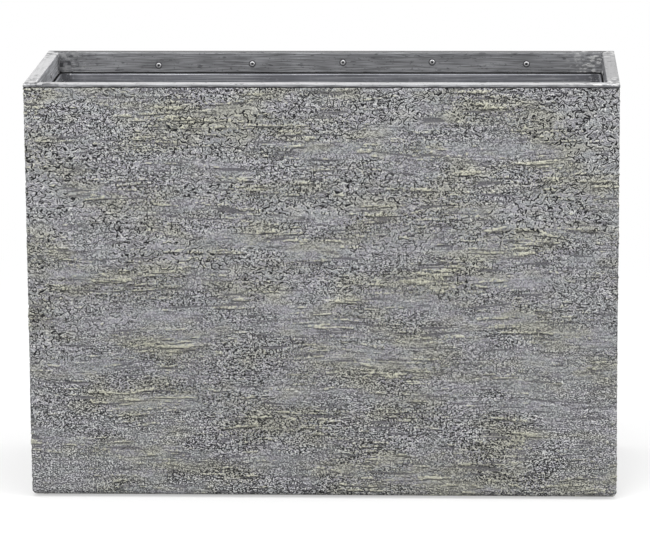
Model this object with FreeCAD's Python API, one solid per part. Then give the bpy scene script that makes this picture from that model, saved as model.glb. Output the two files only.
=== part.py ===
import FreeCAD, Part
import os

# Rectangular floor planter: a cast stone-like shell with a riveted sheet-metal rim and a lift-out liner.
# Millimetres, +Z up, +X along the width, the front faces -Y, origin at the middle of the base.

# Cast shell
shell_width = 800.0
shell_depth = 300.0
shell_height = 569.0
wall_thickness = 10.0
floor_thickness = 15.0
band_height = 45.0
band_slope_height = 7.0
upright_edge_radius = 3.0
base_edge_radius = 8.0
floor_edge_radius = 3.0
band_edge_clearance = 0.4
shell_drain_diameter = 26.0
drain_inset = 200.0

# Folded rim
rim_sheet = 1.0
flange_width = 17.0
lip_drop = 4.5
skirt_drop = 28.0
rim_bend_radius = 0.6
shadow_gap = 1.3

# Angles that tie the skirts together at the inside corners
angle_leg = 16.0
angle_top_gap = 5.0
angle_sheet = 0.8
angle_bend_radius = 0.6

# Blind rivets, in rows that were marked out by eye and are not centred
rivet_head_diameter = 8.0
rivet_head_height = 1.2
rivet_head_edge = 0.4
rivet_dome_share = 0.8
rivet_shank_diameter = 4.0
rivet_shank_length = 10.0
rivet_hole_clearance = 0.1
stem_diameter = 2.4
stem_clearance = 0.05
stem_recess = 0.7
stem_head_diameter = 3.6
stem_head_length = 1.5
blind_hole_spare = 0.8
long_row_shares = (-0.361, -0.188, -0.024, 0.143, 0.316)
long_row_drop_shares = (0.58, 0.49, 0.51, 0.58, 0.66)
short_row_shares = (-0.12, 0.213)
short_row_drop_shares = (0.61, 0.59)

# Lift-out liner
liner_side_gap = 8.0
liner_end_clearance = 0.8
liner_sheet = 1.0
liner_top_drop = 1.0
liner_bend_radius = 2.0
hem_height = 10.0
hem_gap = 1.0
hem_round_share = 0.46
end_flange = 12.0
end_bend_radius = 1.0
finger_slot_length = 90.0
finger_slot_height = 24.0
finger_slot_drop = 12.0
liner_drain_diameter = 20.0

# Pads under the liner and feet under the shell
pad_side = 50.0
pad_thickness = 8.0
pad_edge_radius = 6.0
pad_inset = 60.0
foot_diameter = 40.0
foot_height = 8.0
foot_stand = 3.0
foot_edge_chamfer = 1.0
foot_inset = 45.0
foot_pocket_clearance = 0.2

# Overrun of every cut, and the tolerance for finding an edge by its place
cut_overrun = 5.0
edge_match = 0.01

# Levels and faces that follow from the sizes above
shell_base_z = foot_stand
shell_top_z = shell_base_z + shell_height
rim_top_z = shell_top_z + rim_sheet
skirt_bottom_z = rim_top_z - skirt_drop
floor_top_z = shell_base_z + floor_thickness
band_bottom_z = shell_top_z - band_height
band_thickness = flange_width - rim_sheet
band_edge_chamfer = rim_bend_radius + band_edge_clearance
liner_base_z = floor_top_z + pad_thickness
liner_top_z = skirt_bottom_z - liner_top_drop
hem_thickness = hem_gap + liner_sheet
hem_fold_radius = hem_round_share * (hem_thickness + liner_sheet)
liner_fold_radius = liner_bend_radius + liner_sheet
liner_end_gap = max(rivet_head_height, angle_sheet) + liner_end_clearance
liner_half_width = shell_width / 2 - flange_width - liner_end_gap - hem_thickness
liner_half_depth = shell_depth / 2 - flange_width - liner_side_gap - hem_thickness

# The four sides in the order of a turn about Z, each with the corner at its left end, seen from outside
SIDES = ("front", "right", "back", "left")
LEFT_CORNERS = ("front_left", "front_right", "back_right", "back_left")
LONG_SIDES = ("front", "back")
X_AXIS = FreeCAD.Vector(1, 0, 0)
Y_AXIS = FreeCAD.Vector(0, 1, 0)
Z_AXIS = FreeCAD.Vector(0, 0, 1)
ORIGIN = FreeCAD.Vector(0, 0, 0)


def vec(x, y, z):
    return FreeCAD.Vector(x, y, z)


def block(x_low, x_high, y_low, y_high, z_low, z_high):
    corner = vec(x_low, y_low, z_low)
    return Part.makeBox(x_high - x_low, y_high - y_low, z_high - z_low, corner)


def centred_block(width, depth, z_low, z_high):
    return block(-width / 2, width / 2, -depth / 2, depth / 2, z_low, z_high)


def upright_cylinder(diameter, x, y, z_low, z_high):
    return Part.makeCylinder(diameter / 2, z_high - z_low, vec(x, y, z_low), Z_AXIS)


def prism_along_x(outline, length):
    """Extrude a closed outline of (y, z) points along X, centred on the YZ plane."""
    points = [vec(-length / 2, y, z) for y, z in outline]
    face = Part.Face(Part.makePolygon(points + points[:1]))
    return face.extrude(X_AXIS * length)


def edges_within(shape, x_range=None, y_range=None, z_range=None):
    """Edges that lie wholly inside the ranges given; an axis left out is not tested."""
    found = []
    for edge in shape.Edges:
        box = edge.BoundBox
        spans = ((x_range, box.XMin, box.XMax), (y_range, box.YMin, box.YMax), (z_range, box.ZMin, box.ZMax))
        inside = [
            span is None or (low > span[0] - edge_match and high < span[1] + edge_match)
            for span, low, high in spans
        ]
        if all(inside):
            found.append(edge)
    return found


def fold(shape, radius, y, z):
    """Round the edge that runs along X at the given y and z."""
    return shape.makeFillet(radius, edges_within(shape, y_range=(y, y), z_range=(z, z)))


def side_length(side):
    return shell_width if side in LONG_SIDES else shell_depth


def place_on_side(shape, side):
    """Carry a shape drawn with the outer face at y = 0, inward along +Y, to its side of the planter."""
    across = shell_depth if side in LONG_SIDES else shell_width
    placed = shape.copy()
    placed.translate(vec(0, -across / 2, 0))
    placed.rotate(ORIGIN, Z_AXIS, 360 * SIDES.index(side) / len(SIDES))
    return placed


def corner_places(x, y):
    return [(-x, -y), (x, -y), (x, y), (-x, y)]


def drain_places():
    x = shell_width / 2 - drain_inset
    return [(-x, 0), (x, 0)]


def rivet_places(side):
    """Centres of a side's rivets: distance from the middle of the side, seen from outside, and height."""
    if side in LONG_SIDES:
        rows = zip(long_row_shares, long_row_drop_shares)
    else:
        rows = zip(short_row_shares, short_row_drop_shares)
    inner_length = side_length(side) - 2 * flange_width
    return [(along * inner_length, rim_top_z - drop * skirt_drop) for along, drop in rows]


def rivet_drill(side, diameter, y_low, y_high):
    """Cylinders on the axes of one side's rivets, placed on that side."""
    drills = []
    for x, z in rivet_places(side):
        drills.append(Part.makeCylinder(diameter / 2, y_high - y_low, vec(x, y_low, z), Y_AXIS))
    return place_on_side(Part.Compound(drills), side)


def turned_on_rivet_axis(outline_wire):
    """Turn a closed outline, drawn in the YZ plane with z as the radius, about the Y axis."""
    return Part.Face(outline_wire).revolve(ORIGIN, Y_AXIS, 360)


# Shell


def shell_outside():
    body = centred_block(shell_width, shell_depth, shell_base_z, shell_top_z)
    uprights = [e for e in body.Edges if e.BoundBox.ZLength > shell_height - edge_match]
    body = body.makeFillet(upright_edge_radius, uprights)
    base = edges_within(body, z_range=(shell_base_z, shell_base_z))
    return body.makeFillet(base_edge_radius, base)


def lip_rebate():
    """Ring that lets the lip lie flush with the face, with an open joint below it."""
    low = shell_top_z + rim_sheet - lip_drop - shadow_gap
    high = shell_top_z + cut_overrun
    outer = centred_block(shell_width + 2 * cut_overrun, shell_depth + 2 * cut_overrun, low, high)
    core = centred_block(shell_width - 2 * rim_sheet, shell_depth - 2 * rim_sheet, low, high)
    return outer.cut(core)


def rectangle_wire(width, depth, z):
    points = [vec(x, y, z) for x, y in corner_places(width / 2, depth / 2)]
    return Part.makePolygon(points + points[:1])


def shell_cavity():
    """Inside of the shell: a wide chamber, a sloped shoulder and the narrower mouth in the band."""
    wide = (shell_width - 2 * wall_thickness, shell_depth - 2 * wall_thickness)
    mouth = (shell_width - 2 * band_thickness, shell_depth - 2 * band_thickness)
    slope_bottom_z = band_bottom_z - band_slope_height
    chamber = centred_block(wide[0], wide[1], floor_top_z, slope_bottom_z)
    chamber = chamber.makeFillet(floor_edge_radius, edges_within(chamber, z_range=(floor_top_z, floor_top_z)))
    wires = [rectangle_wire(*wide, slope_bottom_z), rectangle_wire(*mouth, band_bottom_z)]
    shoulder = Part.makeLoft(wires, True, True)
    throat = centred_block(mouth[0], mouth[1], band_bottom_z, shell_top_z + cut_overrun)
    return chamber.fuse([shoulder, throat]).removeSplitter()


def make_stone_shell():
    shell = shell_outside().cut(lip_rebate()).cut(shell_cavity())
    top = edges_within(shell, z_range=(shell_top_z, shell_top_z))
    shell = shell.makeChamfer(band_edge_chamfer, top)
    cuts = []
    for x, y in drain_places():
        low = shell_base_z - cut_overrun
        cuts.append(upright_cylinder(shell_drain_diameter, x, y, low, floor_top_z + cut_overrun))
    pocket_diameter = foot_diameter + 2 * foot_pocket_clearance
    for x, y in foot_places():
        cuts.append(upright_cylinder(pocket_diameter, x, y, shell_base_z - cut_overrun, foot_height))
    hole = rivet_shank_diameter + 2 * rivet_hole_clearance
    hole_end = flange_width - rivet_shank_length - stem_head_length - blind_hole_spare
    for side in SIDES:
        cuts.append(rivet_drill(side, hole, hole_end, flange_width + cut_overrun))
    return shell.cut(cuts)


# Rim


def make_rim(side):
    """One folded length: lip outside, flange on top, skirt inside, mitred at both ends."""
    length = side_length(side)
    top = rim_top_z
    under = rim_top_z - rim_sheet
    skirt_back = flange_width - rim_sheet
    outline = [
        (0, top - lip_drop),
        (0, top),
        (flange_width, top),
        (flange_width, skirt_bottom_z),
        (skirt_back, skirt_bottom_z),
        (skirt_back, under),
        (rim_sheet, under),
        (rim_sheet, top - lip_drop),
    ]
    rim = prism_along_x(outline, length)
    for y in (0, flange_width):
        rim = fold(rim, rim_bend_radius + rim_sheet, y, top)
    for y in (rim_sheet, skirt_back):
        rim = fold(rim, rim_bend_radius, y, under)
    mitre_points = [
        vec(-length / 2, 0, skirt_bottom_z),
        vec(length / 2, 0, skirt_bottom_z),
        vec(length / 2 - flange_width, flange_width, skirt_bottom_z),
        vec(flange_width - length / 2, flange_width, skirt_bottom_z),
    ]
    mitre_face = Part.Face(Part.makePolygon(mitre_points + mitre_points[:1]))
    rim = rim.common(mitre_face.extrude(Z_AXIS * skirt_drop))
    hole = rivet_shank_diameter + 2 * rivet_hole_clearance
    drill = rivet_drill(side, hole, skirt_back - cut_overrun, flange_width + cut_overrun)
    return place_on_side(rim, side).cut(drill)


def make_corner_angle(side):
    """Bent patch in the corner at the left end of a side, as seen from outside."""
    corner = flange_width - side_length(side) / 2
    low = skirt_bottom_z
    high = rim_top_z - angle_top_gap
    square = block(corner, corner + angle_leg, flange_width, flange_width + angle_leg, low, high)
    inner_x = corner + angle_sheet
    inner_y = flange_width + angle_sheet
    space = block(inner_x, inner_x + angle_leg, inner_y, inner_y + angle_leg, low, high)
    angle = square.cut(space)
    bend = edges_within(angle, (corner, corner), (flange_width, flange_width))
    angle = angle.makeFillet(angle_bend_radius + angle_sheet, bend)
    bend = edges_within(angle, (inner_x, inner_x), (inner_y, inner_y))
    angle = angle.makeFillet(angle_bend_radius, bend)
    return place_on_side(angle, side)


# Rivets


def rivet_body():
    """Hollow blind rivet on the Y axis, with the underside of its head at y = 0."""
    bore = stem_diameter / 2 + stem_clearance
    shank = rivet_shank_diameter / 2
    head = rivet_head_diameter / 2
    middle = (head + bore) / 2
    rise = rivet_head_edge + rivet_dome_share * (rivet_head_height - rivet_head_edge)
    points = [
        vec(0, rivet_head_height, bore),
        vec(0, -rivet_shank_length, bore),
        vec(0, -rivet_shank_length, shank),
        vec(0, 0, shank),
        vec(0, 0, head),
        vec(0, rivet_head_edge, head),
    ]
    edges = [Part.LineSegment(a, b).toShape() for a, b in zip(points, points[1:])]
    edges.append(Part.Arc(points[-1], vec(0, rise, middle), points[0]).toShape())
    return turned_on_rivet_axis(Part.Wire(edges))


def rivet_stem():
    """Broken-off mandrel: a straight stem with its head against the blind end of the rivet."""
    stem = stem_diameter / 2
    stem_end = rivet_head_height - stem_recess
    points = [
        vec(0, stem_end, 0),
        vec(0, stem_end, stem),
        vec(0, -rivet_shank_length, stem),
        vec(0, -rivet_shank_length, stem_head_diameter / 2),
        vec(0, -rivet_shank_length - stem_head_length, stem_head_diameter / 2),
        vec(0, -rivet_shank_length - stem_head_length, 0),
    ]
    return turned_on_rivet_axis(Part.makePolygon(points + points[:1]))


def rivet_row(pattern, side):
    """Copies of a rivet piece on one side, with their heads on the skirt's inner face."""
    copies = []
    for x, z in rivet_places(side):
        copy = pattern.copy()
        copy.translate(vec(x, flange_width, z))
        copies.append(copy)
    return place_on_side(Part.Compound(copies), side)


# Liner


def hem_outline(wall_face):
    """Open-bottomed fold outside a wall whose inner face is given: wall, top and return."""
    wall = wall_face + liner_sheet
    back = wall + hem_gap
    outer = back + liner_sheet
    under = liner_top_z - liner_sheet
    low = liner_top_z - hem_height
    return [(wall, under), (back, under), (back, low), (outer, low), (outer, liner_top_z), (wall_face, liner_top_z)]


def make_liner_wrap():
    """Front, floor and back of the liner, one sheet with a hem along both top edges."""
    inner = liner_half_depth - liner_sheet
    outer = liner_half_depth
    floor = liner_base_z + liner_sheet
    back_half = [(outer, liner_base_z)] + hem_outline(inner) + [(inner, floor)]
    front_half = [(-y, z) for y, z in reversed(back_half)]
    wrap = prism_along_x(back_half + front_half, 2 * liner_half_width)
    for y in (-outer, outer):
        wrap = fold(wrap, liner_fold_radius, y, liner_base_z)
    for y in (-inner, inner):
        wrap = fold(wrap, liner_bend_radius, y, floor)
    for y in (-outer - hem_thickness, outer + hem_thickness, -inner, inner):
        wrap = fold(wrap, hem_fold_radius, y, liner_top_z)
    cuts = []
    for x, y in drain_places():
        low = liner_base_z - cut_overrun
        cuts.append(upright_cylinder(liner_drain_diameter, x, y, low, floor + cut_overrun))
    return wrap.cut(cuts)


def pan_form(face, half, low, high, flange, side_fold, end_fold):
    """Block with its lower edges along X and the three folds round its face at x = face rounded."""
    form = block(face - flange, face, -half, half, low, high)
    lower = [e for e in edges_within(form, z_range=(low, low)) if e.BoundBox.YLength < edge_match]
    form = form.makeFillet(side_fold, lower)
    top = edges_within(form, z_range=(high, high))
    rim = [e for e in edges_within(form, (face, face)) if not any(e.isSame(t) for t in top)]
    return form.makeFillet(end_fold, rim)


def end_pan():
    """End of the liner, drawn with its outer face at x = liner_half_width and open upwards and inwards."""
    half = liner_half_depth - liner_sheet
    low = liner_base_z + liner_sheet
    end_fold = end_bend_radius + liner_sheet
    pan = pan_form(liner_half_width, half, low, liner_top_z, end_flange, liner_fold_radius, end_fold)
    space = pan_form(
        liner_half_width - liner_sheet,
        half - liner_sheet,
        low + liner_sheet,
        liner_top_z + cut_overrun,
        end_flange + cut_overrun,
        liner_bend_radius,
        end_bend_radius,
    )
    return pan.cut(space)


def end_hem():
    """Hem along the top of the end, drawn as an outline in the XZ plane and extruded along Y."""
    half = liner_half_depth - liner_sheet - liner_sheet - end_bend_radius
    outline = hem_outline(liner_half_width - liner_sheet)
    closed = outline + [(liner_half_width - liner_sheet, liner_top_z - liner_sheet)]
    points = [vec(x, -half, z) for x, z in closed]
    face = Part.Face(Part.makePolygon(points + points[:1]))
    hem = face.extrude(Y_AXIS * (2 * half))
    outer = liner_half_width + hem_thickness
    ridge = edges_within(hem, (outer, outer), z_range=(liner_top_z, liner_top_z))
    return hem.makeFillet(hem_fold_radius, ridge)


def finger_slot():
    """Round-ended slot through an end of the liner, below its hem."""
    radius = finger_slot_height / 2
    middle_z = liner_top_z - hem_height - finger_slot_drop - radius
    low_x = liner_half_width - liner_sheet - cut_overrun
    depth = liner_sheet + 2 * cut_overrun
    straight = finger_slot_length / 2 - radius
    slot = block(low_x, low_x + depth, -straight, straight, middle_z - radius, middle_z + radius)
    ends = [Part.makeCylinder(radius, depth, vec(low_x, y, middle_z), X_AXIS) for y in (-straight, straight)]
    return slot.fuse(ends)


def make_liner_end(turn):
    end = end_pan().fuse(end_hem()).removeSplitter().cut(finger_slot())
    end.rotate(ORIGIN, Z_AXIS, turn)
    return end


# Pads and feet


def pad_places():
    x = liner_half_width - pad_inset
    y = liner_half_depth - pad_inset
    return corner_places(x, y)


def make_liner_pads():
    pads = []
    for x, y in pad_places():
        half = pad_side / 2
        pad = block(x - half, x + half, y - half, y + half, floor_top_z, liner_base_z)
        uprights = [e for e in pad.Edges if e.BoundBox.ZLength > pad_thickness - edge_match]
        pads.append(pad.makeFillet(pad_edge_radius, uprights))
    return Part.Compound(pads)


def foot_places():
    return corner_places(shell_width / 2 - foot_inset, shell_depth / 2 - foot_inset)


def make_feet():
    feet = []
    for x, y in foot_places():
        foot = upright_cylinder(foot_diameter, x, y, 0, foot_height)
        feet.append(foot.makeChamfer(foot_edge_chamfer, edges_within(foot, z_range=(0, 0))))
    return Part.Compound(feet)


def make_parts():
    parts = {"stone_shell": make_stone_shell(), "feet": make_feet(), "liner_pads": make_liner_pads()}
    for side, corner in zip(SIDES, LEFT_CORNERS):
        parts["rim_" + side] = make_rim(side)
        parts["corner_angle_" + corner] = make_corner_angle(side)
        parts["rivets_" + side] = rivet_row(rivet_body(), side)
        parts["rivet_stems_" + side] = rivet_row(rivet_stem(), side)
    parts["liner_wrap"] = make_liner_wrap()
    parts["liner_end_right"] = make_liner_end(0)
    parts["liner_end_left"] = make_liner_end(180)
    return parts


def main():
    os.makedirs("parts", exist_ok=True)
    for name, shape in make_parts().items():
        print(name, "solids", len(shape.Solids), "volume", round(shape.Volume), "valid", shape.isValid())
        shape.exportStep(os.path.join("parts", name + ".step"))


main()
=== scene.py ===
"""Rectangular planter: crackled stone-like shell, riveted sheet-metal rim and a lift-out liner."""

import math

import bmesh
import bpy
import numpy as np
from mathutils import Matrix, Vector


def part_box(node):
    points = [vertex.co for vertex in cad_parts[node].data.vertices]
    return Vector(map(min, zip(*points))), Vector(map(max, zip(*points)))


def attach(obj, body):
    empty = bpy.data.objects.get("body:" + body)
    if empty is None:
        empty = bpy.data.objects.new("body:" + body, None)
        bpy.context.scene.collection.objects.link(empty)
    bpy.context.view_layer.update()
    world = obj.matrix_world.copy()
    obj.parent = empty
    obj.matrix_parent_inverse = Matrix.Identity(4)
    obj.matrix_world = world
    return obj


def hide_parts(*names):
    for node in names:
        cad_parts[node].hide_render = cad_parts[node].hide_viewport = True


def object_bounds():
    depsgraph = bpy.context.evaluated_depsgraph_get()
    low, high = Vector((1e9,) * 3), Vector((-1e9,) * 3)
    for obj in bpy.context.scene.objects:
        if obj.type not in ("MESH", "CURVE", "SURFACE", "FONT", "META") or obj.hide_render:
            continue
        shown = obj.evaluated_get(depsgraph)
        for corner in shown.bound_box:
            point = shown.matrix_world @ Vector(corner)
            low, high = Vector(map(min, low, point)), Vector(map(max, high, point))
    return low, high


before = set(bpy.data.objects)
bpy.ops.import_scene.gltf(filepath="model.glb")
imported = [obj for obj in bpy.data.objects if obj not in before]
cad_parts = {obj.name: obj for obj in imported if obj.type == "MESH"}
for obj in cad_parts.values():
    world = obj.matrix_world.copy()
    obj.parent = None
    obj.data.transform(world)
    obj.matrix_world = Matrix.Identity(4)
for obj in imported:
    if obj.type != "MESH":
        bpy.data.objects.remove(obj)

bl_info = {
    "name": "Rectangular Planter",
    "version": (1, 0, 0),
    "blender": (4, 5, 0),
    "location": "View3D > Sidebar > Planter",
    "description": "Dresses a rectangular planter: stone skin, metal rim, rivets, liner, feet and stage",
    "category": "Add Mesh",
}

# Places taken from the frame, in metres
CAD_LOW, CAD_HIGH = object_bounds()
SHELL_LOW, SHELL_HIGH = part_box("stone_shell")
RIM_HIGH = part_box("rim_front")[1]
BACK_RIM_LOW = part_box("rim_back")[0]
LEFT_RIM_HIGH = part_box("rim_left")[1]
LINER_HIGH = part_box("liner_wrap")[1]
PLANTER = "planter"
RIM_SIDES = ("front", "right", "back", "left")
RIM_CORNERS = ("front_left", "front_right", "back_right", "back_left")
MM = 0.001

# Attributes that the stone skin carries
SKIN_PLACE, SKIN_OUTWARD, SKIN_RELIEF = "skin_place", "skin_outward", "skin_relief"
# Name of the skin's own map, on which its colours can be kept as a picture
BAKE_MAP = "OFBake"

# Attribute of the rivets: how far out from the middle, as a share of the radius
RADIUS_SHARE = "radius_share"


def length(name, description, millimetres):
    """A length property with its default in millimetres."""
    return bpy.props.FloatProperty(
        name=name, description=description, default=millimetres * MM, unit="LENGTH", precision=5
    )


def share(name, description, default):
    """A plain number from 0 upwards."""
    return bpy.props.FloatProperty(name=name, description=description, default=default, min=0.0)


def colour(name, description, default):
    """A linear colour."""
    return bpy.props.FloatVectorProperty(
        name=name, description=description, default=default, subtype="COLOR", size=3, min=0.0, max=1.0
    )


def degrees(name, description, default):
    """An angle property with its default in degrees."""
    return bpy.props.FloatProperty(
        name=name, description=description, default=math.radians(default), subtype="ANGLE"
    )


def watts(name, description, default):
    """The power of a lamp."""
    return bpy.props.FloatProperty(name=name, description=description, default=default, unit="POWER")


class StoneSettings(bpy.types.PropertyGroup):
    """Sizes and colours of the crackled skin."""

    long_step: length("Long face step", "Mesh step on the front and the back", 1.6)
    short_step: length("Short face step", "Mesh step on the two ends", 1.4)
    lip_gap: length("Lip gap", "Open line between the rim's lip and the skin", 0.9)
    lip_drop: length("Lip drop", "Height of the rim's outer lip", 4.5)
    upright_radius: length("Upright edge radius", "Rounding of the four upright edges", 3.0)
    base_radius: length("Base edge radius", "Rounding of the edge at the bottom", 8.0)
    base_return: length("Base return", "How far the skin runs in under the base", 14.0)
    skin_depth: length("Skin depth", "Depth of each skin piece behind its face", 5.0)
    cell: length("Crackle cell", "Height of a crackle cell", 4.1)
    fine_cell: length("Fine cell", "Height of the flatter cells low on the faces", 2.95)
    blob: length("Blob", "Height of a raised curly blob", 8.5)
    crack_width: length("Crack width", "Width of a crack", 2.2)
    crack_depth: length("Crack depth", "Depth of the cracks in the mesh", 0.45)
    ridge_long: length("Ridge length", "Length of the dragged ridges", 34.0)
    ridge_thick: length("Ridge thickness", "Thickness of the dragged ridges", 3.8)
    ridge_height: length("Ridge height", "Height of the dragged ridges", 0.7)
    groove_long: length("Groove length", "Length of the smooth grooves", 70.0)
    groove_thick: length("Groove thickness", "Thickness of the smooth grooves", 4.6)
    groove_depth: length("Groove depth", "Depth of the smooth grooves", 0.8)
    swell_height: length("Swell height", "Height of the skin's slow swells", 1.6)
    stroke_sway: length("Stroke sway", "How far the strokes wander up and down", 26.0)
    violet_grey: colour("Violet grey", "Coolest ground tone", (0.262, 0.258, 0.288))
    green_grey: colour("Green grey", "Cool ground tone", (0.250, 0.261, 0.273))
    warm_grey: colour("Warm grey", "Warmer ground tone", (0.292, 0.292, 0.268))
    # Pale rims of the cells: dry-brushed paint, and a painted highlight just below each crack
    edge_wear_and_highlight: colour("Worn edge", "Pale rims of the crackle cells", (0.90, 0.90, 0.88))
    cream: colour("Cream", "Dry-brushed ridges", (0.68, 0.67, 0.53))
    charcoal: colour("Charcoal", "Smooth grooves", (0.092, 0.089, 0.103))
    # Also the colour of the painted shadow under the ridges and of the painted shade in the line under the
    # lip
    crack: colour("Crack", "Bottom of the cracks", (0.014, 0.014, 0.016))
    raw_cast: colour("Raw cast", "Unpainted underside", (0.30, 0.295, 0.28))
    # Near black given to the inside
    inside_black: colour("Seal coat", "Black sealing coat of the inside", (0.016, 0.016, 0.017))


class MetalSettings(bpy.types.PropertyGroup):
    """Colours and sizes of the rim, the rivets and the liner."""

    rim_paint: colour("Rim paint", "Brushed grey of the folded rim", (0.19, 0.192, 0.20))
    # Painted highlight of the rim's top, streaked like rubbed paint
    rim_top_highlight: colour("Rim worn", "Rubbed top of the rim", (0.46, 0.46, 0.465))
    rim_scuff: colour("Rim scuff", "Pale solder and scuffs near the corners", (0.66, 0.66, 0.655))
    # Also the colour of the painted shade along the lip and the painted shadow round the rivets
    rim_grime_and_shade: colour("Rim grime", "Dark pits and scratches", (0.045, 0.045, 0.05))
    streak_long: length("Streak length", "Length of a brush streak", 70.0)
    streak_thick: length("Streak thickness", "Thickness of a brush streak", 1.1)
    rivet_head: length("Rivet head", "Diameter of a blind rivet's head", 8.0)
    rivet_rise: length("Rivet rise", "Height of a blind rivet's head", 1.4)
    rivet_bright: colour("Rivet bright", "Bare aluminium of the heads", (0.66, 0.66, 0.67))
    mandrel: length("Mandrel", "Diameter of the broken mandrel", 2.4)
    mandrel_dark: colour("Mandrel dark", "Broken steel of the mandrels", (0.05, 0.05, 0.055))
    liner_zinc: colour("Liner zinc", "Ground tone of the liner's sheet", (0.235, 0.239, 0.262))
    liner_pale: colour("Liner pale", "Rubbed streaks of the liner's sheet", (0.45, 0.455, 0.475))


class RubberSettings(bpy.types.PropertyGroup):
    """Colours of the pads and the feet."""

    rubber: colour("Rubber", "Black rubber", (0.022, 0.022, 0.023))
    rubber_dust: colour("Rubber dust", "Dust on the rubber", (0.11, 0.108, 0.10))


class StageSettings(bpy.types.PropertyGroup):
    """Camera, lamps and floor."""

    camera_place: bpy.props.FloatVectorProperty(
        name="Camera place",
        description="Where the camera stands",
        default=(0.2457, -5.2662, 1.3882),
        unit="LENGTH",
    )
    camera_turn: degrees("Camera turn", "Turn to the left", 2.700)
    camera_tilt: degrees("Camera tilt", "Tilt below the horizon", 11.871)
    camera_roll: degrees("Camera roll", "Roll about the line of sight", 0.383)
    lens: bpy.props.FloatProperty(
        name="Lens", description="Focal length in mm", default=214.6, subtype="DISTANCE_CAMERA"
    )
    sky: share("Sky", "Strength of the surrounding light", 0.64)
    top_lamp: watts("Top lamp", "Overhead softbox", 64.0)
    key_lamp: watts("Key lamp", "Softbox at front left", 62.0)
    side_lamp: watts("Side lamp", "Softbox at the right", 34.0)
    floor_side: length("Floor side", "Side of the square floor", 30000.0)
    floor_grey: share("Floor grey", "What the floor throws back on the planter", 0.38)


class NodeSketch:
    """Adds nodes to one tree, for a material or for geometry, and hands back the sockets to wire on."""

    # Sockets of the mix node: its share, its two colours, the mixed colour, and its two numbers
    MIX_SHARE, MIX_FIRST, MIX_SECOND, MIX_RESULT = 0, 6, 7, 2
    NUMBER_FIRST, NUMBER_SECOND = 2, 3

    def __init__(self, tree):
        self.tree = tree

    def add(self, kind, **settings):
        node = self.tree.nodes.new(kind)
        for name, value in settings.items():
            setattr(node, name, value)
        return node

    def feed(self, socket, value):
        """Links a socket to another one, or sets it to a plain value."""
        if isinstance(value, bpy.types.NodeSocket):
            self.tree.links.new(value, socket)
        elif socket.type == "RGBA" and len(value) == 3:
            socket.default_value = (*value, 1.0)
        else:
            socket.default_value = value

    def math(self, operation, *values, clamp=False):
        node = self.add("ShaderNodeMath", operation=operation, use_clamp=clamp)
        for socket, value in zip(node.inputs, values):
            self.feed(socket, value)
        return node.outputs[0]

    def product(self, first, *others):
        """Several values multiplied."""
        for other in others:
            first = self.math("MULTIPLY", first, other)
        return first

    def total(self, first, *others):
        """Several values added."""
        for other in others:
            first = self.math("ADD", first, other)
        return first

    def rest(self, value):
        """What is left of 1."""
        return self.math("SUBTRACT", 1.0, value)

    def vector(self, operation, *values):
        node = self.add("ShaderNodeVectorMath", operation=operation)
        for socket, value in zip(node.inputs, values):
            self.feed(socket, value)
        return node.outputs["Vector"]

    def times(self, vector, factor):
        """A vector or colour times a number."""
        node = self.add("ShaderNodeVectorMath", operation="SCALE")
        self.feed(node.inputs[0], vector)
        self.feed(node.inputs["Scale"], factor)
        return node.outputs["Vector"]

    def parts(self, vector):
        """The three numbers of a vector."""
        node = self.add("ShaderNodeSeparateXYZ")
        self.feed(node.inputs[0], vector)
        return node.outputs

    def joined(self, x, y, z):
        """A vector from three numbers."""
        node = self.add("ShaderNodeCombineXYZ")
        for socket, value in zip(node.inputs, (x, y, z)):
            self.feed(socket, value)
        return node.outputs[0]

    def ramp(self, value, low, high, bottom=0.0, top=1.0):
        """bottom at low and before it, top at high and past it, with a smooth rise between them."""
        node = self.add("ShaderNodeMapRange", interpolation_type="SMOOTHSTEP")
        for socket, wanted in zip(node.inputs, (value, low, high, bottom, top)):
            self.feed(socket, wanted)
        return node.outputs[0]

    def slope(self, value, low, high, bottom=0.0, top=1.0):
        """As ramp, with a straight rise."""
        node = self.add("ShaderNodeMapRange", interpolation_type="LINEAR", clamp=True)
        for socket, wanted in zip(node.inputs, (value, low, high, bottom, top)):
            self.feed(socket, wanted)
        return node.outputs[0]

    def blend(self, part, first, second):
        """A colour that goes from first to second as part goes from 0 to 1."""
        node = self.add("ShaderNodeMix", data_type="RGBA", clamp_factor=True)
        self.feed(node.inputs[self.MIX_SHARE], part)
        self.feed(node.inputs[self.MIX_FIRST], first)
        self.feed(node.inputs[self.MIX_SECOND], second)
        return node.outputs[self.MIX_RESULT]

    def between(self, part, first, second):
        """A number that goes from first to second as part goes from 0 to 1."""
        node = self.add("ShaderNodeMix", data_type="FLOAT", clamp_factor=True)
        self.feed(node.inputs[self.MIX_SHARE], part)
        self.feed(node.inputs[self.NUMBER_FIRST], first)
        self.feed(node.inputs[self.NUMBER_SECOND], second)
        return node.outputs[0]

    def shifted(self, place, x=0.0, y=0.0, z=0.0):
        """A place moved by plain lengths, so that two patterns of one kind differ."""
        return self.vector("ADD", place, (x, y, z))

    def noise_node(self, place, period, detail):
        node = self.add("ShaderNodeTexNoise", noise_dimensions="3D")
        self.feed(node.inputs["Vector"], self.vector("DIVIDE", place, period))
        node.inputs["Scale"].default_value = 1.0
        node.inputs["Detail"].default_value = detail
        return node

    def noise(self, place, period, detail=0.0):
        """Cloudy noise about 0.5, with lumps of the three lengths in period."""
        return self.noise_node(place, period, detail).outputs["Fac"]

    def noise_vector(self, place, period, reach):
        """Cloudy offsets about zero, up to about half of reach each way."""
        node = self.noise_node(place, period, 0.0)
        centred = self.vector("SUBTRACT", node.outputs["Color"], (0.5, 0.5, 0.5))
        return self.times(centred, reach)

    def pits(self, place, cell):
        """Distance to the middle of the nearest cell, as a share of the cell."""
        node = self.add("ShaderNodeTexVoronoi", feature="F1")
        self.feed(node.inputs["Vector"], self.vector("DIVIDE", place, cell))
        node.inputs["Scale"].default_value = 1.0
        return node.outputs["Distance"]


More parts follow.
